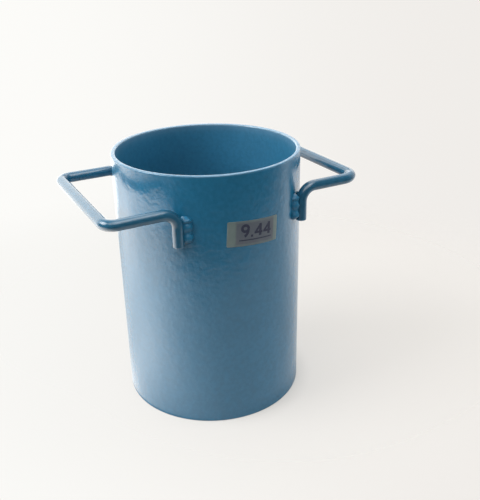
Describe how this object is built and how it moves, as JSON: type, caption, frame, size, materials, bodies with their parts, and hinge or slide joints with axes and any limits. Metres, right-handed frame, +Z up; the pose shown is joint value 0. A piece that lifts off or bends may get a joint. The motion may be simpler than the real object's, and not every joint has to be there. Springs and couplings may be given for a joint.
{
  "type": "bulk density measure",
  "caption": "Open steel cylinder for measuring the bulk density of aggregate, with a flat rim, a welded-in base, a bent-rod handle on each side and a small label.",
  "frame": {"origin": "centre of the plane that the measure stands on, on the vessel's axis", "axes": "+Z up along the vessel's axis, +X out through the right handle, -Y out through the label"},
  "size_m": [0.309, 0.2134, 0.3],
  "materials": {
    "vessel_enamel": "gloss enamel",
    "handle_enamel": "gloss enamel",
    "weld_enamel": "gloss enamel over a weld bead",
    "label_foil": "satin printed foil"
  },
  "bodies": {
    "root": {"cylinder_wall": "vessel_enamel", "base_plate": "vessel_enamel", "base_weld": "weld_enamel", "left_handle": "handle_enamel", "right_handle": "handle_enamel", "label_plate": "label_foil", "left_front_outer_weld": "weld_enamel", "left_front_inner_weld": "weld_enamel", "left_rear_outer_weld": "weld_enamel", "left_rear_inner_weld": "weld_enamel", "right_front_outer_weld": "weld_enamel", "right_front_inner_weld": "weld_enamel", "right_rear_outer_weld": "weld_enamel", "right_rear_inner_weld": "weld_enamel"}
  },
  "joints": []
}
